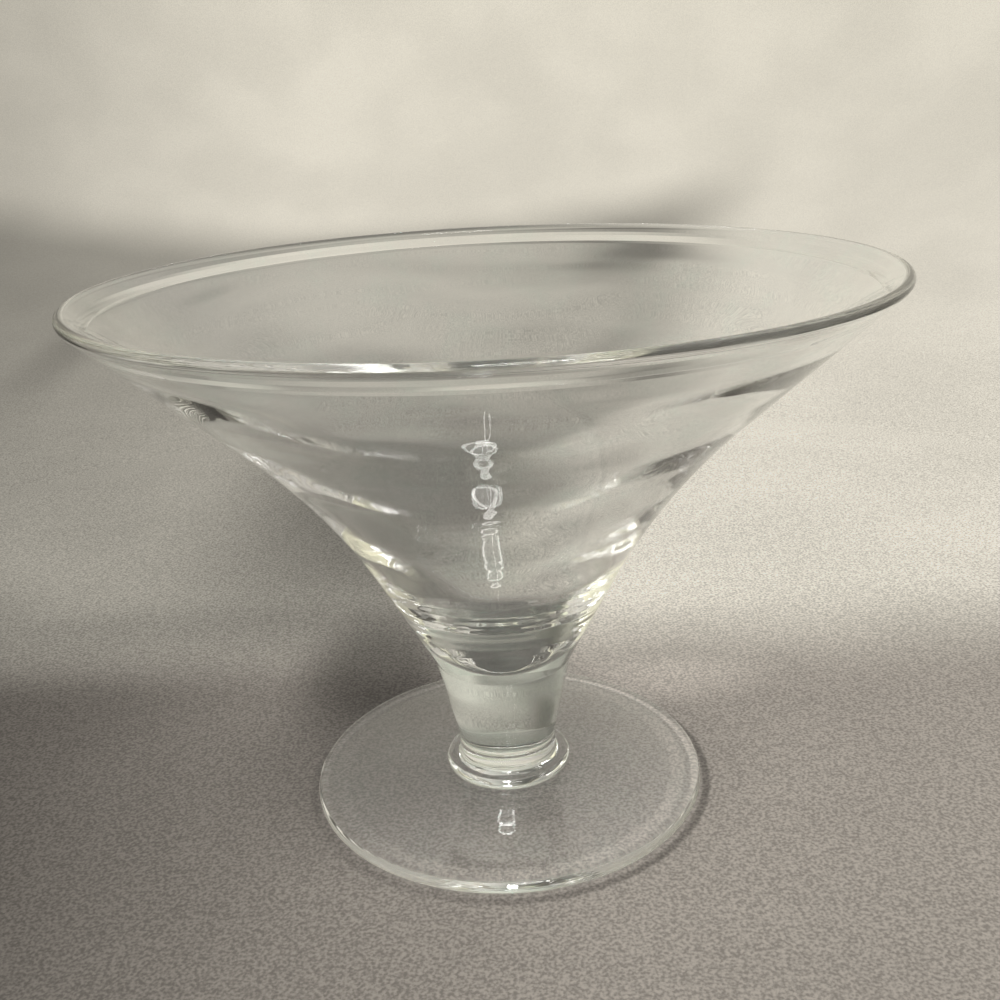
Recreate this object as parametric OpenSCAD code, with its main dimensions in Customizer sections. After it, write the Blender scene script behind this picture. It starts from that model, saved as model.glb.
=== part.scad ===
// Blown glass footed bowl: a wide flared bowl on a solid stem, a round collar
// and a flat disc foot, four gathers of clear glass fused one on another.
// Every gather is turned about +Z. The origin is the middle of the foot's
// underside, and each outline is a list of [radius, height, corner radius].

/* [Bowl] */
// Diameter over the lip
rim_d = 280; // [250:1:310]
// Height of the bowl above its seam with the stem
bowl_h = 146.5; // [130:0.5:165]
// Wall thickness below the lip
wall = 3.2; // [2.4:0.1:4.2]
// How far the lip's round stands out on each side of the wall
lip_swell = 0.3; // [0.1:0.05:0.8]
// Diameter of the outer corner where the steep flank turns into the flare
belly_d = 127.4; // [118:0.2:136]
// Height of that corner above the seam
belly_h = 71.8; // [62:0.2:80]
// Radius that rounds the turn of the flank, measured outside
belly_round = 246; // [150:1:260]
// Wall thickness at the turn, between its two corners before they are rounded
belly_wall = 3.2; // [2.6:0.1:4.2]
// Height above the seam where the hollow leaves the line of the wall and rounds in
base_h = 47; // [42:0.5:52]
// Thickness of glass there, measured level
base_wall = 4.3; // [3.8:0.1:5.5]
// How far the hollow runs on down in line with the wall before it rounds in
base_pull = 2; // [1:0.5:8]
// Glass under the lowest point of the hollow
floor_t = 2.2; // [1.8:0.1:5]
// How far the flat middle of the hollow's floor reaches out before it rounds up
floor_pull = 21; // [15:0.5:24]

/* [Stem] */
// Length of the stem between its two seams
stem_h = 38.5; // [30:0.5:46]
// Diameter at the seam with the bowl
seam_d = 52.6; // [49:0.1:56]
// Diameter just above the collar
neck_d = 37.8; // [32:0.1:42]
// Length of the straight stretch above the collar
neck_h = 4; // [2:0.1:8]
// Radius that eases the neck into the taper
neck_round = 15; // [8:1:20]

/* [Collar] */
// Diameter over the collar
collar_d = 48.8; // [44:0.1:54]
// Height of the collar between its two seams
collar_h = 8.5; // [7:0.1:10]
// Thickness of the collar at its round edge
collar_edge = 4.4; // [3.2:0.1:5.4]
// Radius that eases the top of the collar up into the stem
collar_ease = 2.6; // [1.2:0.1:3.4]

/* [Foot] */
// Diameter of the foot
foot_d = 152; // [140:1:165]
// Thickness of the foot at its edge
foot_edge = 5; // [4:0.1:6]
// Thickness of the foot under the collar
foot_h = 6.5; // [6.1:0.1:9]
// Width of the flat ring that the foot stands on
rest_w = 3.5; // [2:0.1:6]
// Rise of the hollowed underside towards its middle
dome_h = 1.6; // [0.8:0.1:2.2]
// Diameter of the ground spot in the middle, where the pontil was broken off
pontil_d = 22; // [16:0.5:28]
// Depth of this spot
pontil_h = 0.6; // [0.3:0.05:1]

/* [Hidden] */
$fn = 128;
glass = [0.80, 0.84, 0.81];

// Steps in each rounded corner, in the hollow's base and in the foot's underside
corner_steps = 9;
base_steps = 14;
dome_steps = 8;
// Share of a side that a corner's round may take, next to a rounded and a sharp corner
shared_side_share = 0.49;
whole_side_share = 0.98;
// Distances below the lip's middle, as shares of its radius, where the bead
// is at its full thickness and where it has run out into the wall
bead_share = 2;
run_out_share = 4.5;

lip_r = wall / 2 + lip_swell;
collar_z = foot_h;
stem_z = collar_z + collar_h;
seam_z = stem_z + stem_h;
lip_z = seam_z + bowl_h;
seam = [seam_d / 2, seam_z];
belly = [belly_d / 2, seam_z + belly_h];
// Middle of the lip's round
lip = [rim_d / 2 - lip_r, lip_z - lip_r];
rest_r = foot_d / 2 - foot_edge / 2 - rest_w;

// Unit vector from a to b
function heading(a, b) = (b - a) / norm(b - a);
// That vector turned a quarter clockwise, away from the axis on a rising wall
function outward(v) = [v[1], -v[0]];
// The radius and height of a corner, without its round
function point(p) = [p[0], p[1]];
// Radius on the straight line from a to b at height z
function line_r(a, b, z) = a[0] + (b[0] - a[0]) * (z - a[1]) / (b[1] - a[1]);

// Length of the side from corner p to its neighbour that p's round may take
function room(p, neighbour) =
    norm(point(neighbour) - point(p)) * (len(neighbour) > 2 ? shared_side_share : whole_side_share);

// Arc that rounds corner c between its neighbours, no wider than their sides allow
function corner_arc(last, c, next) =
    let (
        p = point(c),
        u = heading(p, point(last)),
        v = heading(p, point(next)),
        half = acos(max(-1, min(1, u * v))) / 2,
        reach = min(c[2] / tan(half), room(c, last), room(c, next)),
        r = reach * tan(half),
        middle = p + heading([0, 0], u + v) * (r / sin(half)),
        from = p + u * reach - middle,
        sweep = 180 - 2 * half,
        turn = sign(u[0] * v[1] - u[1] * v[0]) * sweep
    )
    [for (i = [0 : corner_steps])
        let (w = -turn * i / corner_steps)
        middle + [from[0] * cos(w) - from[1] * sin(w), from[0] * sin(w) + from[1] * cos(w)]];

// Outline with every corner that has a radius rounded
function rounded(list) = [
    for (i = [0 : len(list) - 1])
        each (len(list[i]) > 2
            ? corner_arc(list[i - 1], list[i], list[i + 1])
            : [list[i]])
];

// Curve from a to d that leaves towards b and arrives from c, without its first point
function curve(a, b, c, d) = [
    for (i = [1 : base_steps])
        let (t = i / base_steps, s = 1 - t)
        a * s * s * s + b * (3 * s * s * t) + c * (3 * s * t * t) + d * t * t * t
];

// Solid turned from an outline about the upright axis
module turned(outline) {
    color(glass)
        rotate_extrude()
            polygon(rounded(outline));
}

// Corners of the lip: up the outside of the wall, round the bead and down the inside
function lip_corners(along, side) =
    let (
        place = function (back, off, radius)
            let (p = lip - along * back + side * off)
            [p[0], p[1], radius],
        full = lip_r * bead_share,
        run_out = lip_r * run_out_share
    )
    [
        place(run_out, wall / 2, full),
        place(full, lip_r, full),
        place(-lip_r, lip_r, lip_r),
        place(-lip_r, -lip_r, lip_r),
        place(full, -lip_r, full),
        place(run_out, -wall / 2, full)
    ];

// Blown and flared bowl, thick at its base, with a fire-polished lip
module bowl() {
    along = heading(belly, lip);
    side = outward(along);
    across = heading([0, 0], side + outward(heading(seam, belly)));
    inner_belly = belly - across * belly_wall;
    base_z = seam_z + base_h;
    base = [line_r(seam, belly, base_z) - base_wall, base_z];
    floor_z = seam_z + floor_t;
    turned([
        [0, seam_z],
        seam,
        [belly[0], belly[1], belly_round],
        each lip_corners(along, side),
        [inner_belly[0], inner_belly[1], belly_round + belly_wall],
        base,
        each curve(base, base + heading(inner_belly, base) * base_pull,
            [floor_pull, floor_z], [0, floor_z])
    ]);
}

// Solid stem, tapered down to a short neck
module stem() {
    turned([
        [0, stem_z],
        [neck_d / 2, stem_z],
        [neck_d / 2, stem_z + neck_h, neck_round],
        seam,
        [0, seam_z]
    ]);
}

// Collar that joins the stem to the foot: a low disc with a round edge, eased up into the stem
module collar() {
    edge_r = collar_edge / 2;
    brow_z = collar_z + collar_edge;
    turned([
        [0, collar_z],
        [collar_d / 2, collar_z, edge_r],
        [collar_d / 2, brow_z, edge_r],
        [neck_d / 2, brow_z, collar_ease],
        [neck_d / 2, stem_z],
        [0, stem_z]
    ]);
}

// Disc foot with a round edge, hollowed underneath inside its resting ring
module foot() {
    edge_r = foot_edge / 2;
    spot_r = pontil_d / 2;
    difference() {
        turned([
            [0, dome_h],
            for (i = [1 : dome_steps])
                let (share = i / dome_steps)
                [rest_r * share, dome_h * (1 - share * share)],
            [foot_d / 2, 0, edge_r],
            [foot_d / 2, foot_edge, edge_r],
            [collar_d / 2, foot_h],
            [0, foot_h]
        ]);
        // The ground spot is a shallow bowl cut by a sphere
        ball_r = (spot_r * spot_r + pontil_h * pontil_h) / (2 * pontil_h);
        translate([0, 0, dome_h + pontil_h - ball_r])
            sphere(ball_r);
    }
}

bowl();
stem();
collar();
foot();
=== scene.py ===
import math

import bpy
import numpy as np
from mathutils import Matrix, Vector


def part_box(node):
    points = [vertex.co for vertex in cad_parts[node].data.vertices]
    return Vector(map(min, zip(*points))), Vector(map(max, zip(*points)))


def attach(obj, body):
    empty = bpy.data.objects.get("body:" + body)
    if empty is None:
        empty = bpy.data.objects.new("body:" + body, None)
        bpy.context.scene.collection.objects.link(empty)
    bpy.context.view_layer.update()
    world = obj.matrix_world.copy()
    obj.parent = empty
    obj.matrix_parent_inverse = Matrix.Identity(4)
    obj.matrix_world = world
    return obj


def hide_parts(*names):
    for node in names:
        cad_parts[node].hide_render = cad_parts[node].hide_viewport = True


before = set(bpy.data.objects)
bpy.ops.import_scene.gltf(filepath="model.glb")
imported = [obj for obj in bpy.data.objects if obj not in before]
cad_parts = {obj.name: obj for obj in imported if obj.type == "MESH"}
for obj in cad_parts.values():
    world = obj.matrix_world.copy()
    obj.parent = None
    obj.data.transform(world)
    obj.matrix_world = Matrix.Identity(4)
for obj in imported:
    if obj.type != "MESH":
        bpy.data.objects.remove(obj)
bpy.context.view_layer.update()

MM = 0.001
TURN = 2 * math.pi

# Camera, from the outlines of the lip and the foot in the photograph
PITCH, YAW, ROLL = math.radians(19.883), math.radians(0.2502), math.radians(-2.911)
CAMERA_PLACE = Vector((0, -0.38867, 0.25670))
SENSOR_WIDTH, FOCAL_LENGTH = 36, 40.34
NEAREST_SEEN = 0.01


def make_camera():
    ahead = Vector((
        math.sin(YAW) * math.cos(PITCH),
        math.cos(YAW) * math.cos(PITCH),
        -math.sin(PITCH),
    ))
    level = Vector((math.cos(YAW), -math.sin(YAW), 0))
    upright = level.cross(ahead)
    right = math.cos(ROLL) * level + math.sin(ROLL) * upright
    up = -math.sin(ROLL) * level + math.cos(ROLL) * upright
    data = bpy.data.cameras.new("camera")
    data.sensor_width = SENSOR_WIDTH
    data.lens = FOCAL_LENGTH
    data.clip_start = NEAREST_SEEN
    ob = bpy.data.objects.new("camera", data)
    bpy.context.scene.collection.objects.link(ob)
    stand = Matrix((right, up, -ahead)).transposed().to_4x4()
    stand.translation = CAMERA_PLACE
    ob.matrix_world = stand
    bpy.context.scene.camera = ob


make_camera()

# Outlines in millimetres, as in the CAD source: a corner is (r, z), or (r, z, radius) if round.
# Share of a side that one corner's round may take, where the side's other end is round or sharp
SHARED_SIDE_SHARE, WHOLE_SIDE_SHARE = 0.49, 0.98
ARC_STEP, MIN_ARC_STEPS = 1.0, 6
SAME_POINT = 1e-4


def unit(v):
    return v / np.linalg.norm(v)


def outward(v):
    return np.array([v[1], -v[0]])


def room(p, other):
    """Length of the side from p to its neighbour that p's round may take."""
    share = SHARED_SIDE_SHARE if len(other) > 2 else WHOLE_SIDE_SHARE
    return math.dist(p[:2], other[:2]) * share


def corner_arc(last, c, following):
    """Points of the arc that rounds corner c, no wider than its sides allow."""
    p = np.array(c[:2], float)
    u, v = unit(np.array(last[:2]) - p), unit(np.array(following[:2]) - p)
    half = math.acos(max(-1, min(1, float(u @ v)))) / 2
    reach = min(c[2] / math.tan(half), room(c, last), room(c, following))
    r = reach * math.tan(half)
    middle = p + unit(u + v) * (r / math.sin(half))
    x, y = p + u * reach - middle
    sweep = math.pi - 2 * half
    turn = -math.copysign(sweep, u[0] * v[1] - u[1] * v[0])
    steps = max(MIN_ARC_STEPS, int(r * sweep / ARC_STEP))
    out = []
    for i in range(steps + 1):
        angle = turn * i / steps
        cosine, sine = math.cos(angle), math.sin(angle)
        out.append(middle + np.array([x * cosine - y * sine, x * sine + y * cosine]))
    return out


def rounded(corners):
    out = []
    for i, c in enumerate(corners):
        if len(c) > 2:
            out += corner_arc(corners[i - 1], c, corners[(i + 1) % len(corners)])
        else:
            out.append(np.array(c, float))
    return out


def curve(a, b, c, d, steps):
    """Curve from a to d that leaves towards b and arrives from c, without its first point."""
    a, b, c, d = (np.array(p, float) for p in (a, b, c, d))
    t = (np.arange(steps) + 1)[:, None] / steps
    s = 1 - t
    return list(a * s ** 3 + b * 3 * s * s * t + c * 3 * s * t * t + d * t ** 3)


def dense(points, gap):
    """The same outline with no side longer than gap."""
    out = [points[0]]
    for p in points[1:]:
        far = math.dist(out[-1], p)
        if far < SAME_POINT:
            continue
        n = math.ceil(far / gap)
        start = out[-1]
        out += [start + (p - start) * i / n for i in range(1, n + 1)]
    return out


def side_normals(points):
    """Unit vectors that point out of the glass, one for each point of an outline."""
    p = np.array(points)
    ahead = np.roll(p, -1, axis=0) - np.roll(p, 1, axis=0)
    ahead[0], ahead[-1] = p[1] - p[0], p[-1] - p[-2]
    return np.column_stack((ahead[:, 1], -ahead[:, 0])) / np.linalg.norm(ahead, axis=1)[:, None]


def smooth_step(low, high, x):
    t = np.clip((x - low) / (high - low), 0, 1)
    return t * t * (3 - 2 * t)


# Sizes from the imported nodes, less a little at the lip that the waves in the wall may take
SPARE = 0.05
(bowl_lo, bowl_hi), (stem_lo, stem_hi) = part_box("bowl"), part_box("stem")
(collar_lo, collar_hi), foot_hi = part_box("collar"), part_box("foot")[1]
rim_r, lip_z = bowl_hi.x / MM - SPARE, bowl_hi.z / MM - SPARE
seam_r, seam_z = stem_hi.x / MM, bowl_lo.z / MM
stem_z, collar_z = stem_lo.z / MM, collar_lo.z / MM
collar_r = collar_hi.x / MM
foot_r, foot_h = foot_hi.x / MM, foot_hi.z / MM

# Bowl: wall in the flare and low on the flank, the lip's stand beyond the wall, and the turn
# from flank to flare
WALL, FLANK_WALL, LIP_SWELL = 3.2, 3.8, 0.3
BELLY_R, BELLY_H, BELLY_ROUND = 63.7, 71.8, 246
# Distances below the lip's middle where the bead starts to swell and where the wall is plain,
# as shares of the bead's radius
BEAD_SHARE, RUN_OUT_SHARE = 2, 4.5
# Base: its top and the floor of the hollow, above the seam, and the pulls of the curve between
BASE_H, FLOOR_T, BASE_PULL, FLOOR_PULL = 47, 2.2, 2, 21
WALL_GAP, FLOOR_STEPS, DOME_STEPS = 1.0, 60, 60
NECK_R, NECK_H, NECK_ROUND = 18.9, 4, 15
COLLAR_EDGE, COLLAR_EASE = 4.4, 2.6
FOOT_EDGE, REST_W, DOME_H, PONTIL_R, PONTIL_H = 5, 3.5, 1.6, 11, 0.6

base_z = seam_z + BASE_H
floor_z = seam_z + FLOOR_T
seam = np.array([seam_r, seam_z])
belly = np.array([BELLY_R, seam_z + BELLY_H])
lip_r = WALL / 2 + LIP_SWELL
lip = np.array([rim_r - lip_r, lip_z - lip_r])


def lip_corners(along, side):
    def place(back, off, radius):
        p = lip - along * back + side * off
        return (p[0], p[1], radius)

    full, run_out = lip_r * BEAD_SHARE, lip_r * RUN_OUT_SHARE
    return [
        place(run_out, WALL / 2, full),
        place(full, lip_r, full),
        place(-lip_r, lip_r, lip_r),
        place(-lip_r, -lip_r, lip_r),
        place(full, -lip_r, full),
        place(run_out, -WALL / 2, full),
    ]


def hollow_side(wall_line):
    """Hollow's side of the wall, from the base up to the lip: the outside moved in by the
    wall's thickness."""
    points = dense(wall_line, WALL_GAP)
    normals = side_normals(points)
    out = []
    for p, normal in zip(points, normals):
        share = smooth_step(base_z, wall_line[-1][1], p[1])
        q = p - normal * (FLANK_WALL + (WALL - FLANK_WALL) * share)
        if q[1] >= base_z:
            out.append(q)
    return out


def bowl_outline():
    along = unit(lip - belly)
    lip_round = lip_corners(along, outward(along))
    outside = [tuple(seam), (belly[0], belly[1], BELLY_ROUND)]
    hollow = hollow_side(rounded(outside + [lip_round[0][:2]]))[::-1]
    base = hollow[-1]
    pull = base + unit(base - hollow[-2]) * BASE_PULL
    floor = curve(base, pull, (FLOOR_PULL, floor_z), (0, floor_z), FLOOR_STEPS)
    shell = rounded([(0, seam_z)] + outside + lip_round + [tuple(hollow[0])])
    return shell + hollow[1:] + floor


def stem_outline():
    return rounded([
        (0, stem_z),
        (NECK_R, stem_z),
        (NECK_R, stem_z + NECK_H, NECK_ROUND),
        tuple(seam),
        (0, seam_z),
    ])


def collar_outline():
    brow_z = collar_z + COLLAR_EDGE
    return rounded([
        (0, collar_z),
        (collar_r, collar_z, COLLAR_EDGE / 2),
        (collar_r, brow_z, COLLAR_EDGE / 2),
        (NECK_R, brow_z, COLLAR_EASE),
        (NECK_R, stem_z),
        (0, stem_z),
    ])


def foot_outline():
    rest_r = foot_r - FOOT_EDGE / 2 - REST_W
    ball = (PONTIL_R ** 2 + PONTIL_H ** 2) / (2 * PONTIL_H)
    under = []
    for r in np.linspace(0, 1, DOME_STEPS + 1) * rest_r:
        dome = DOME_H * (1 - (r / rest_r) ** 2)
        spot = DOME_H + PONTIL_H - ball + math.sqrt(max(0, ball ** 2 - r ** 2))
        under.append((r, max(dome, spot)))
    return rounded([
        *under,
        (foot_r, 0, FOOT_EDGE / 2),
        (foot_r, FOOT_EDGE, FOOT_EDGE / 2),
        (collar_r, foot_h),
        (collar_r - COLLAR_EDGE / 2, foot_h),
        (0, foot_h),
    ])


# Turned meshes: points round the axis, gap between points along the outline, and the material
# slot of faces that meet the next piece of glass
ROUND = 256
GAP = 1.2
FUSED = 1
ON_AXIS = 1e-6
SHARP_ANGLE = math.radians(25)


def turned(name, outline, waves, fused, materials):
    """Closed mesh turned from an outline in millimetres. waves(points, angle) says how far the
    points move out of the glass, and fused(a, b) whether the side from a to b is fused."""
    points = dense(outline, GAP)
    normals = side_normals(points)
    angles = np.linspace(0, TURN, ROUND, endpoint=False)
    turns = []
    for angle in angles:
        moved = waves(np.array(points), angle)[:, None] if waves else 0
        turns.append(np.array(points) + normals * moved)
    rings, verts, faces, slots = [], [], [], []
    for k, p in enumerate(points):
        if p[0] < ON_AXIS:
            rings.append([len(verts)])
            verts.append((0, 0, p[1] * MM))
        else:
            rings.append(list(range(len(verts), len(verts) + ROUND)))
            for angle, turn in zip(angles, turns):
                r, z = turn[k] * MM
                verts.append((r * math.cos(angle), r * math.sin(angle), z))
    for k, (low, high) in enumerate(zip(rings[:-1], rings[1:])):
        slot = FUSED if fused(points[k], points[k + 1]) else 0
        for i in range(ROUND):
            j = (i + 1) % ROUND
            if len(low) == 1:
                faces.append((low[0], high[j], high[i]))
            elif len(high) == 1:
                faces.append((low[i], low[j], high[0]))
            else:
                faces.append((low[i], low[j], high[j], high[i]))
            slots.append(slot)
    mesh = bpy.data.meshes.new(name)
    mesh.from_pydata([tuple(v) for v in verts], [], faces)
    for m in materials:
        mesh.materials.append(m)
    mesh.polygons.foreach_set("material_index", slots)
    mesh.polygons.foreach_set("use_smooth", [True] * len(faces))
    mesh.update()
    mesh.set_sharp_from_angle(angle=SHARP_ANGLE)
    ob = bpy.data.objects.new(name, mesh)
    bpy.context.scene.collection.objects.link(ob)
    return ob


# Wall: how much thicker the glass is behind than in front, each side of the mean, and the slow
# waves of the blowing, with length, height, phase, and how often and far they swing round
UNEVEN = 0.55
WAVES = ((64, 0.20, 0.4, 4, 2.0), (27, 0.03, 1.7, 2, 1.1), (13, 0.006, 4.0, 1, 1.6))
# They fade out upwards between two depths under the lip, down to the base between two heights
# from its top, and towards the axis between two radii
LIP_FADE_LOW, LIP_FADE_HIGH = 16, 4
BASE_FADE_LOW, BASE_FADE_HIGH = -18, 14
AXIS_FADE = (2, 12)
# Fine rings of the turning in the rounded base, full from this depth under its top
BASE_RING_LENGTH, BASE_RING_HEIGHT, BASE_RING_SWING = 4.5, 0.03, 0.8
BASE_RING_AXIS_FADE, BASE_RING_FULL = (2, 9), 12
# Marks of the tools round the stem, which fade out at its seams
STEM_MARK_LENGTH, STEM_MARK_DEPTH = 17, 0.26
STEM_MARK_PHASE, STEM_MARK_SWING, STEM_MARK_SIDE = -0.62, 0.7, 0.6
STEM_FADE_LOW, STEM_FADE_HIGH, STEM_CORE = 6, 5, 1


def wall_waves(points, angle):
    """Shift in millimetres out of the glass, on the hollow's side of the wall alone."""
    r, z = points[:, 0], points[:, 1]
    hollow = np.arange(len(points)) > int(np.argmax(z))
    fade = hollow * smooth_step(lip_z - LIP_FADE_HIGH, lip_z - LIP_FADE_LOW, z)
    fade = fade * smooth_step(*AXIS_FADE, r)
    fade = fade * smooth_step(base_z + BASE_FADE_LOW, base_z + BASE_FADE_HIGH, z)
    rings = hollow * smooth_step(*BASE_RING_AXIS_FADE, r)
    rings = rings * smooth_step(base_z, base_z - BASE_RING_FULL, z) * BASE_RING_HEIGHT
    swing = BASE_RING_SWING * math.sin(angle)
    rings = rings * np.sin(TURN * z / BASE_RING_LENGTH + swing)
    shift = UNEVEN * math.sin(angle)
    for length, height, phase, lobes, swing in WAVES:
        turn = phase + swing * math.cos(lobes * angle + phase)
        shift = shift + height * np.sin(TURN * (r + z) / length + turn)
    return shift * fade + rings


def stem_waves(points, angle):
    """Shift in millimetres into the glass, on the stem's side alone."""
    r, z = points[:, 0], points[:, 1]
    side = smooth_step(stem_z, stem_z + STEM_FADE_LOW, z)
    side = side * smooth_step(seam_z, seam_z - STEM_FADE_HIGH, z) * (r > STEM_CORE)
    turn = STEM_MARK_PHASE + STEM_MARK_SWING * math.sin(angle + STEM_MARK_SIDE)
    mark = np.sin(TURN * z / STEM_MARK_LENGTH + turn)
    return -STEM_MARK_DEPTH * side * (1 + mark) / 2


# Shader nodes


def node(tree, kind, **values):
    """New node with its settings and input values."""
    n = tree.nodes.new(kind)
    for key, value in values.items():
        if hasattr(n, key):
            setattr(n, key, value)
        else:
            n.inputs[key.replace("_", " ")].default_value = value
    return n


def math_node(tree, operation, a, b=None, c=None):
    """Output of an operation on outputs and numbers."""
    n = node(tree, "ShaderNodeMath", operation=operation)
    for i, v in enumerate((a, b, c)):
        if v is None:
            continue
        if isinstance(v, (int, float)):
            n.inputs[i].default_value = v
        else:
            tree.links.new(v, n.inputs[i])
    return n.outputs[0]


def vector_math(tree, operation, a, b=None):
    """Vector output of an operation on an output and a constant, or its number if it has one."""
    n = node(tree, "ShaderNodeVectorMath", operation=operation)
    tree.links.new(a, n.inputs[0])
    if b is not None:
        n.inputs[1].default_value = b
    return n.outputs["Value"] if operation in ("DOT_PRODUCT", "LENGTH") else n.outputs["Vector"]


def spread(tree, value, low, high, to_low=0.0, to_high=1.0, kind="SMOOTHSTEP"):
    """Step of an output from low to high, smooth unless kind says otherwise."""
    ramp = node(tree, "ShaderNodeMapRange", interpolation_type=kind)
    ends = {"From Min": low, "From Max": high, "To Min": to_low, "To Max": to_high}
    for key, number in ends.items():
        ramp.inputs[key].default_value = number
    tree.links.new(value, ramp.inputs["Value"])
    return ramp.outputs["Result"]


def blend(tree, share, dark, pale):
    """Mix of two colours, each a constant or an output."""
    mix = node(tree, "ShaderNodeMix", data_type="RGBA")
    tree.links.new(share, mix.inputs[0])
    for socket, colour in ((mix.inputs[6], dark), (mix.inputs[7], pale)):
        if isinstance(colour, tuple):
            socket.default_value = (*colour, 1)
        else:
            tree.links.new(colour, socket)
    return mix.outputs[2]


def noise(tree, place, scale, detail):
    texture = node(tree, "ShaderNodeTexNoise", Scale=scale, Detail=detail)
    tree.links.new(place, texture.inputs["Vector"])
    return texture.outputs["Fac"]


def surface(tree, share, first, second):
    """Makes the material's surface a mix of two shaders."""
    mix = tree.nodes.new("ShaderNodeMixShader")
    tree.links.new(share, mix.inputs[0])
    tree.links.new(first.outputs[0], mix.inputs[1])
    tree.links.new(second.outputs[0], mix.inputs[2])
    tree.links.new(mix.outputs[0], tree.nodes["Material Output"].inputs["Surface"])


# Glass: clear, and the tone that it darkens to where much of it is looked through
IOR = 1.5
CLEAR, INK = (1, 1, 1, 1), (0.06, 0.30, 0.22, 1)
# Faint haze in patches, as handling leaves it
HAZE_SCALE, HAZE_DETAIL, HAZE_SPAN, HAZE_ROUGHNESS = 38.0, 3.0, (0.45, 0.8), 0.03
# Slow level ripples of the turning
RIPPLE_STRETCH, RIPPLE_SCALE, RIPPLE_DETAIL, RIPPLE_DEPTH = (6, 6, 60), 1.0, 1.5, 0.001


def glass(name, density, ripple):
    """Clear glass that darkens towards ink with the length of glass that is looked through."""
    m = bpy.data.materials.new(name)
    m.use_nodes = True
    t = m.node_tree
    clear = t.nodes["Principled BSDF"]
    dark = t.nodes.new("ShaderNodeBsdfPrincipled")
    place = t.nodes.new("ShaderNodeTexCoord").outputs["Object"]
    haze = noise(t, place, HAZE_SCALE, HAZE_DETAIL)
    rough = spread(t, haze, *HAZE_SPAN, 0.0, HAZE_ROUGHNESS, "LINEAR")
    stretch = node(t, "ShaderNodeMapping", Scale=RIPPLE_STRETCH)
    t.links.new(place, stretch.inputs["Vector"])
    ripples = noise(t, stretch.outputs["Vector"], RIPPLE_SCALE, RIPPLE_DETAIL)
    bump = node(t, "ShaderNodeBump", Strength=ripple, Distance=RIPPLE_DEPTH)
    t.links.new(ripples, bump.inputs["Height"])
    for shader, colour in ((clear, CLEAR), (dark, INK)):
        shader.inputs["Base Color"].default_value = colour
        shader.inputs["IOR"].default_value = IOR
        shader.inputs["Transmission Weight"].default_value = 1.0
        t.links.new(rough, shader.inputs["Roughness"])
        t.links.new(bump.outputs["Normal"], shader.inputs["Normal"])
    # Only light that leaves the glass has been through it, and meets its face from behind
    length = t.nodes.new("ShaderNodeLightPath").outputs["Ray Length"]
    leaving = t.nodes.new("ShaderNodeNewGeometry").outputs["Backfacing"]
    kept = math_node(t, "EXPONENT", math_node(t, "MULTIPLY", length, -density))
    lost = math_node(t, "MULTIPLY", math_node(t, "SUBTRACT", 1.0, kept), leaving)
    surface(t, lost, clear, dark)
    return m


def fused_seam():
    """Where two pieces of glass are one: light goes straight on."""
    m = bpy.data.materials.new("fused_seam")
    m.use_nodes = True
    t = m.node_tree
    t.nodes.remove(t.nodes["Principled BSDF"])
    through = t.nodes.new("ShaderNodeBsdfTransparent")
    t.links.new(through.outputs[0], t.nodes["Material Output"].inputs["Surface"])
    return m


# Density per metre of glass looked through, and strength of the ripples
bowl_glass = glass("bowl_glass", 5.0, 0.12)
stem_glass = glass("stem_glass", 4.0, 0.1)
foot_glass = glass("foot_glass", 4.0, 0.1)
seam_material = fused_seam()

# Pieces, with the faces of each that are fused to the next
SEAM_SLACK = 1e-3


def level(z):
    return lambda a, b: abs(a[1] - z) < SEAM_SLACK and abs(b[1] - z) < SEAM_SLACK


def stem_ends(a, b):
    return level(stem_z)(a, b) or level(seam_z)(a, b)


def collar_ends(a, b):
    return level(collar_z)(a, b) or level(stem_z)(a, b)


def foot_top(a, b):
    under_collar = max(a[0], b[0]) <= collar_r - COLLAR_EDGE / 2 + SEAM_SLACK
    return level(foot_h)(a, b) and under_collar


PIECES = (
    ("blown_bowl", "bowl", bowl_outline, wall_waves, level(seam_z), bowl_glass, "bowl_glass"),
    ("solid_stem", "stem", stem_outline, stem_waves, stem_ends, stem_glass, "stem_glass"),
    ("round_collar", "collar", collar_outline, None, collar_ends, stem_glass, "stem_glass"),
    ("disc_foot", "foot", foot_outline, None, foot_top, foot_glass, "foot_glass"),
)
for name, part, outline, waves, fused, material, slot in PIECES:
    piece = turned(name, outline(), waves, fused, (material, seam_material))
    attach(piece, "root")
    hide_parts(part)

# Stage: a pale cloth that lies flat under the bowl and rises all round into a wall. It is flat
# out to one radius, then curves up by a height to the wall, which ends in open air
FLAT_R, WALL_R, CURVE_H, WALL_TOP = 0.50, 1.25, 0.45, 1.2
SUNK = -0.0003
STAGE_ROUND, FLAT_STEPS, CURVE_STEPS = 128, 25, 24
OPEN_AIR_Z = (0.55, 1.15)

# Painted shade in the tones of the cloth, as shares of white: darker near the camera than behind
# the bowl, and darker on the left, where less light falls. They go from the left to the right
# between two places in x, and from near to far between two places in rise
NEAR_TINT, NEAR_LEFT, NEAR_RIGHT, NEAR_X = (1, 0.915, 0.83), 0.108, 0.325, (-0.27, 0.07)
FAR_TINT, FAR_LEFT, FAR_RIGHT, FAR_X = (1, 0.957, 0.86), 0.44, 0.69, (-0.66, -0.2)
NEAR_TO_FAR = (0.06, 0.19)
# Rise is the distance behind the bowl. Beyond this distance from it only the direction counts
RISE_SIDE, RISE_REACH = (0.06, 1, 0), 0.3
# Where the room's light, its soft pane included, is painted on the cloth: far out in front, and
# high on the wall
FAR_OUT, IN_FRONT_RISE, HIGH_Z = (0.45, 0.95), (-0.1, 0.15), (0.38, 0.6)
# Share of its painted tone that the cloth glows with, as painted light, and share that it adds
# where light falls
GLOW, PAINT = 0.66, 0.7
ROUGHNESS, GLOSS = 0.95, 0.1
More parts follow.
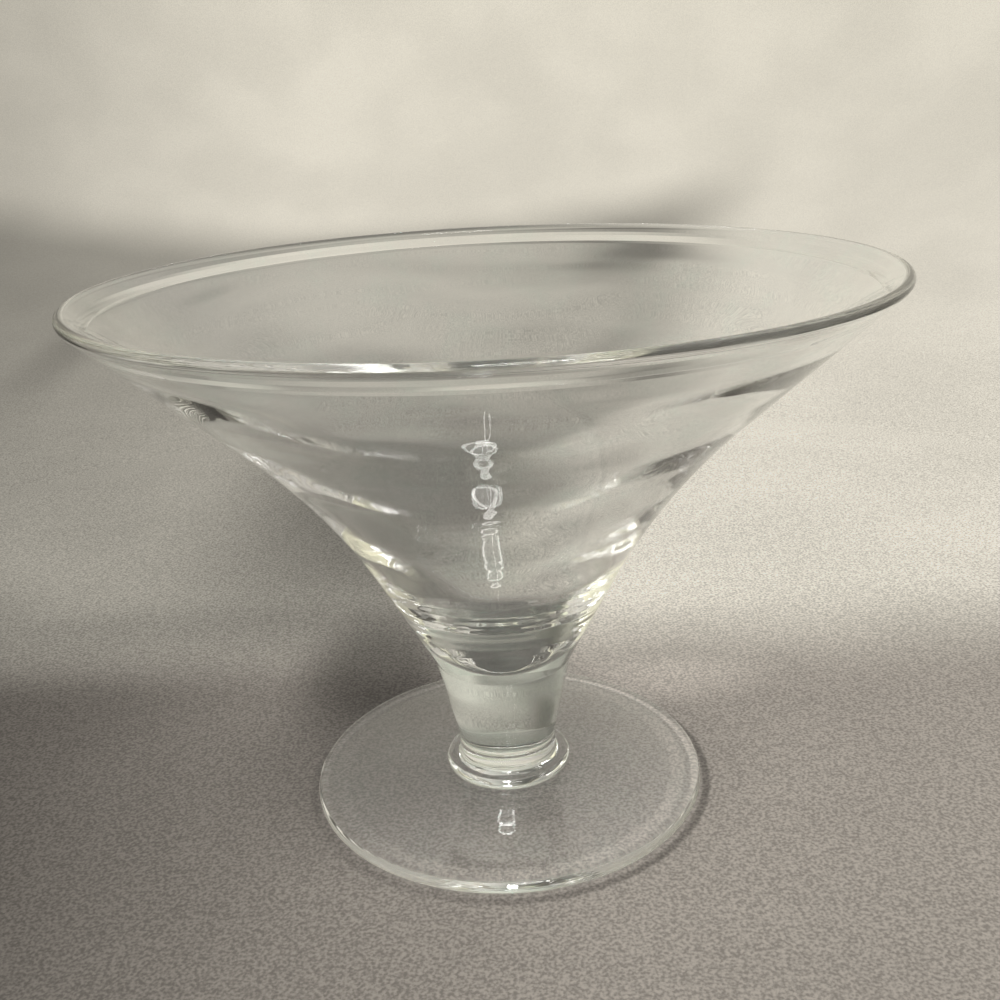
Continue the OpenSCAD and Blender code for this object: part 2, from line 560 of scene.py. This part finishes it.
# Slow folds, painted as soft light and shade, and the fine grain of the nap, which is fainter
# far away
NOISE_DETAIL, NOISE_SPAN = 2.0, (0.3, 0.7)
FOLD_SCALE, FOLD_TONE = 7.0, (0.95, 1.05)
NAP_SCALE, NAP_TONE, NAP_AWAY, NAP_FAR_SHARE = 850.0, 0.28, (0.5, 1.0), 0.25

# Room: its dim and its bright tone, and the direction that is bright
ROOM_DIM, ROOM_BRIGHT = (0.07, 0.065, 0.056), (0.84, 0.80, 0.72)
BRIGHT_SIDE, BRIGHT_REACH = Vector((0.8, 0.45, 0.15)).normalized(), (-0.7, 1.0)
# Soft light low in front, to the left of the camera
PANE_SIDE, PANE_REACH = Vector((-0.35, -0.93, 0.08)).normalized(), (0.60, 0.97)
PANE_TONE = (0.98, 0.95, 0.74)

# Painted soft shadow, as a low light from the front right would throw it behind the bowl on the
# left. It ends on the right and at the back between two distances each, and starts between two
# rises
SHADE_DEPTH = 0.50
SHADE_ASIDE, SHADE_RIGHT = (1, -0.35, 0), (-0.13, 0.01)
SHADE_BACK, SHADE_END = (-0.1, 1, 0), (0.93, 1.03)
SHADE_START = (0.08, 0.15)
# Parts of it: middle x and y, half widths, and how much darker they are, or paler where light
# comes through. They fade between two shares of their half widths
SHADE_PARTS = (
    (-0.065, 0.36, 0.13, 0.27, 0.50),
    (-0.05, 0.82, 0.26, 0.13, -0.35),
    (0.17, 0.90, 0.07, 0.08, 0.25),
    (-0.060, 0.09, 0.042, 0.065, 0.54),
    (-0.030, 0.025, 0.085, 0.08, 0.42),
    (0.03, 0.01, 0.07, 0.07, 0.14),
    (0.075, 0.068, 0.05, 0.022, -0.30),
)
PART_FADE = (0.3, 1.25)
# Darker line that the lip throws along the shadow's far edge: middle, half widths and depth,
# its inner and outer edge as shares of the half widths, and where it starts
LIP_SHADE = (-0.05, 0.60, 0.37, 0.37, 0.28)
LIP_SHADE_INNER, LIP_SHADE_OUTER, LIP_SHADE_START = (0.9, 1.0), (1.02, 1.12), (0.5, 0.85)
# Rings on the cloth round the foot, of light that its edge gathers and of shade where it
# stands: middle radius, half width, change, and the direction where the change is strongest
EDGE_RINGS = (
    (0.0732, 0.0016, 0.75, (0.55, 0.83, 0)),
    (0.0782, 0.0024, -0.45, (0.75, -0.2, 0)),
    (0.0670, 0.0040, 0.28, (0.6, -0.8, 0)),
)
# Share of a ring's half width that is even, and its strength away from that direction
RING_CORE, RING_TURN, RING_WEAK = 0.3, (-0.5, 0.9), 0.25


def tinted(tone, tint):
    return tuple(tone * c for c in tint)


def room_tone(tree, direction):
    """Tone of the room in a direction: dim in front, bright behind on the right, and with a
    soft light low in front on the left."""
    lean = vector_math(tree, "DOT_PRODUCT", direction, BRIGHT_SIDE)
    tone = blend(tree, spread(tree, lean, *BRIGHT_REACH), ROOM_DIM, ROOM_BRIGHT)
    pane = vector_math(tree, "DOT_PRODUCT", direction, PANE_SIDE)
    return blend(tree, spread(tree, pane, *PANE_REACH), tone, PANE_TONE)


def off_middle(tree, place, x, y, half_x, half_y):
    """Distance from the middle of an ellipse on the floor, 1 at its edge."""
    moved = vector_math(tree, "SUBTRACT", place, (x, y, 0))
    scaled = vector_math(tree, "MULTIPLY", moved, (1 / half_x, 1 / half_y, 0))
    return vector_math(tree, "LENGTH", scaled)


def with_shadow(tree, place, rise):
    """Share of the light that the soft shadow and the line of the lip leave to the cloth."""
    aside = vector_math(tree, "DOT_PRODUCT", place, SHADE_ASIDE)
    back = vector_math(tree, "DOT_PRODUCT", place, SHADE_BACK)
    left = spread(tree, aside, *SHADE_RIGHT, 1.0, 0.0)
    inside = math_node(tree, "MULTIPLY", left, spread(tree, back, *SHADE_END, 1.0, 0.0))
    inside = math_node(tree, "MULTIPLY", inside, spread(tree, rise, *SHADE_START))
    lit = math_node(tree, "MULTIPLY_ADD", inside, -SHADE_DEPTH, 1.0)
    for *ellipse, depth in SHADE_PARTS:
        part = spread(tree, off_middle(tree, place, *ellipse), *PART_FADE, 1 - depth, 1.0)
        lit = math_node(tree, "MULTIPLY", lit, part)
    *ellipse, depth = LIP_SHADE
    off = off_middle(tree, place, *ellipse)
    inner = spread(tree, off, *LIP_SHADE_INNER)
    line = math_node(tree, "MULTIPLY", inner, spread(tree, off, *LIP_SHADE_OUTER, 1.0, 0.0))
    shown = math_node(tree, "MULTIPLY", inside, spread(tree, back, *LIP_SHADE_START))
    line = math_node(tree, "MULTIPLY", line, shown)
    return math_node(tree, "MULTIPLY", lit, math_node(tree, "MULTIPLY_ADD", line, -depth, 1.0))


def with_rings(tree, place, lit):
    """The same share of the light, with the rings round the foot."""
    flat = vector_math(tree, "MULTIPLY", place, (1, 1, 0))
    out = vector_math(tree, "LENGTH", flat)
    heading = vector_math(tree, "NORMALIZE", flat)
    for radius, half, change, side in EDGE_RINGS:
        off = math_node(tree, "ABSOLUTE", math_node(tree, "SUBTRACT", out, radius))
        band = spread(tree, off, RING_CORE * half, half, change, 0.0)
        towards = vector_math(tree, "DOT_PRODUCT", heading, side)
        strength = spread(tree, towards, *RING_TURN, RING_WEAK, 1.0)
        gain = math_node(tree, "MULTIPLY_ADD", band, strength, 1.0)
        lit = math_node(tree, "MULTIPLY", lit, gain)
    return lit


def cloth_tone(tree, place, x, z, away, rise):
    """Colour of the cloth: painted shade, darker near and on the left, where less light falls,
    and the room's light painted on it far out in front and high on the wall.
    """
    near_tones = tinted(NEAR_LEFT, NEAR_TINT), tinted(NEAR_RIGHT, NEAR_TINT)
    near = blend(tree, spread(tree, x, *NEAR_X), *near_tones)
    far_tones = tinted(FAR_LEFT, FAR_TINT), tinted(FAR_RIGHT, FAR_TINT)
    far = blend(tree, spread(tree, x, *FAR_X), *far_tones)
    cloth = blend(tree, spread(tree, rise, *NEAR_TO_FAR), near, far)
    far_out = spread(tree, away, *FAR_OUT)
    in_front = math_node(
        tree, "MULTIPLY", far_out, spread(tree, rise, *IN_FRONT_RISE, 1.0, 0.0))
    beyond = math_node(tree, "MAXIMUM", in_front, spread(tree, z, *HIGH_Z))
    return blend(tree, beyond, cloth, room_tone(tree, vector_math(tree, "NORMALIZE", place)))


def cloth_texture(tree, place, away):
    """Factor of the folds' painted light and shade, and of the nap's grain."""
    folds = noise(tree, place, FOLD_SCALE, NOISE_DETAIL)
    grain = noise(tree, place, NAP_SCALE, NOISE_DETAIL)
    fold = spread(tree, folds, *NOISE_SPAN, *FOLD_TONE)
    nap = spread(tree, grain, *NOISE_SPAN, -NAP_TONE, NAP_TONE)
    fade = spread(tree, away, *NAP_AWAY, 1.0, NAP_FAR_SHARE)
    return math_node(tree, "MULTIPLY", fold, math_node(tree, "MULTIPLY_ADD", nap, fade, 1.0))


def stage_material():
    m = bpy.data.materials.new("stage")
    m.use_nodes = True
    t = m.node_tree
    p = t.nodes["Principled BSDF"]
    p.inputs["Roughness"].default_value = ROUGHNESS
    p.inputs["Specular IOR Level"].default_value = GLOSS
    p.inputs["Emission Strength"].default_value = GLOW
    place = t.nodes.new("ShaderNodeNewGeometry").outputs["Position"]
    split = t.nodes.new("ShaderNodeSeparateXYZ")
    t.links.new(place, split.inputs[0])
    x, z = split.outputs["X"], split.outputs["Z"]
    away = vector_math(t, "LENGTH", place)
    back = vector_math(t, "DOT_PRODUCT", place, RISE_SIDE)
    reach = math_node(t, "MAXIMUM", math_node(t, "DIVIDE", away, RISE_REACH), 1.0)
    rise = math_node(t, "DIVIDE", back, reach)
    tone = cloth_tone(t, place, x, z, away, rise)
    texture = cloth_texture(t, place, away)
    shade = with_rings(t, place, with_shadow(t, place, rise))
    # The painted tone, shade and light go out as glow, and as colour where the room's light
    # falls
    for colour, share in ((p.inputs["Emission Color"], 1.0), (p.inputs["Base Color"], PAINT)):
        scaled = node(t, "ShaderNodeVectorMath", operation="SCALE")
        t.links.new(tone, scaled.inputs[0])
        lit = math_node(t, "MULTIPLY", shade, share)
        t.links.new(math_node(t, "MULTIPLY", texture, lit), scaled.inputs["Scale"])
        t.links.new(scaled.outputs["Vector"], colour)
    open_air = t.nodes.new("ShaderNodeBsdfTransparent")
    surface(t, spread(t, z, *OPEN_AIR_Z), p, open_air)
    return m


def make_stage():
    profile = [(r, SUNK) for r in np.linspace(0, FLAT_R, FLAT_STEPS + 1)]
    for a in np.linspace(0, math.pi / 2, CURVE_STEPS + 1)[1:]:
        r, z = FLAT_R + (WALL_R - FLAT_R) * math.sin(a), SUNK + CURVE_H * (1 - math.cos(a))
        profile.append((r, z))
    profile.append((WALL_R, WALL_TOP))
    n = STAGE_ROUND
    verts = [
        (r * math.cos(TURN * i / n), r * math.sin(TURN * i / n), z)
        for r, z in profile[1:] for i in range(n)
    ]
    hub = len(verts)
    verts.append((0, 0, SUNK))
    faces = [(hub, i, (i + 1) % n) for i in range(n)]
    for k in range(len(profile) - 2):
        for i in range(n):
            j = (i + 1) % n
            faces.append((k * n + i, (k + 1) * n + i, (k + 1) * n + j, k * n + j))
    mesh = bpy.data.meshes.new("stage")
    mesh.from_pydata(verts, [], faces)
    mesh.materials.append(stage_material())
    mesh.polygons.foreach_set("use_smooth", [True] * len(faces))
    ob = bpy.data.objects.new("stage", mesh)
    bpy.context.scene.collection.objects.link(ob)


make_stage()

# Lamps high in front, which show in the glass alone: a ring, and a thin strip
LAMP_COLOUR = (1.0, 0.985, 0.95)
LAMP_TARGET = Vector((0, 0, 0.14))
RING_PLACE, RING_SIZE, RING_POWER = Vector((0.11, -0.62, 0.92)), (0.34, 0.34), 7.0
# Ring's inner radius and soft edge as shares of the lamp's width, and strength inside it
RING_INNER, RING_EDGE, RING_INSIDE = 0.40, 0.03, 0.06
LAMP_MIDDLE = (0.5, 0.5, 0)
STRIP_PLACE, STRIP_SIZE, STRIP_POWER = Vector((0.06, -0.50, 0.98)), (0.008, 0.45), 0.5


def lamp(name, place, size, power, shape="RECTANGLE"):
    data = bpy.data.lights.new(name, "AREA")
    data.shape = shape
    data.size, data.size_y = size
    data.energy = power
    data.color = LAMP_COLOUR
    ob = bpy.data.objects.new(name, data)
    bpy.context.scene.collection.objects.link(ob)
    ob.location = place
    ob.rotation_euler = (LAMP_TARGET - place).to_track_quat("-Z", "Y").to_euler()
    ob.visible_camera = False
    ob.visible_diffuse = False
    return data


def ring(data):
    """Makes a round lamp bright in a ring only, and faint inside it."""
    data.use_nodes = True
    t = data.node_tree
    place = t.nodes.new("ShaderNodeNewGeometry")
    middle = node(t, "ShaderNodeVectorMath", operation="DISTANCE")
    middle.inputs[1].default_value = LAMP_MIDDLE
    t.links.new(place.outputs["Parametric"], middle.inputs[0])
    start = RING_INNER - RING_EDGE
    strength = spread(t, middle.outputs["Value"], start, RING_INNER, RING_INSIDE, 1.0)
    t.links.new(strength, t.nodes["Emission"].inputs["Strength"])


ring(lamp("ring_light", RING_PLACE, RING_SIZE, RING_POWER, "ELLIPSE"))
lamp("strip_light", STRIP_PLACE, STRIP_SIZE, STRIP_POWER)


def make_world():
    world = bpy.data.worlds.new("world")
    bpy.context.scene.world = world
    world.use_nodes = True
    t = world.node_tree
    direction = t.nodes.new("ShaderNodeTexCoord").outputs["Generated"]
    t.links.new(room_tone(t, direction), t.nodes["Background"].inputs["Color"])


make_world()

# Light goes through many faces of glass one after another
GLASS_BOUNCES, OPEN_BOUNCES = 80, 16
scene = bpy.context.scene
scene.cycles.max_bounces = GLASS_BOUNCES
scene.cycles.transmission_bounces = GLASS_BOUNCES
scene.cycles.glossy_bounces = GLASS_BOUNCES
scene.cycles.transparent_max_bounces = OPEN_BOUNCES
scene.view_settings.view_transform = "Standard"
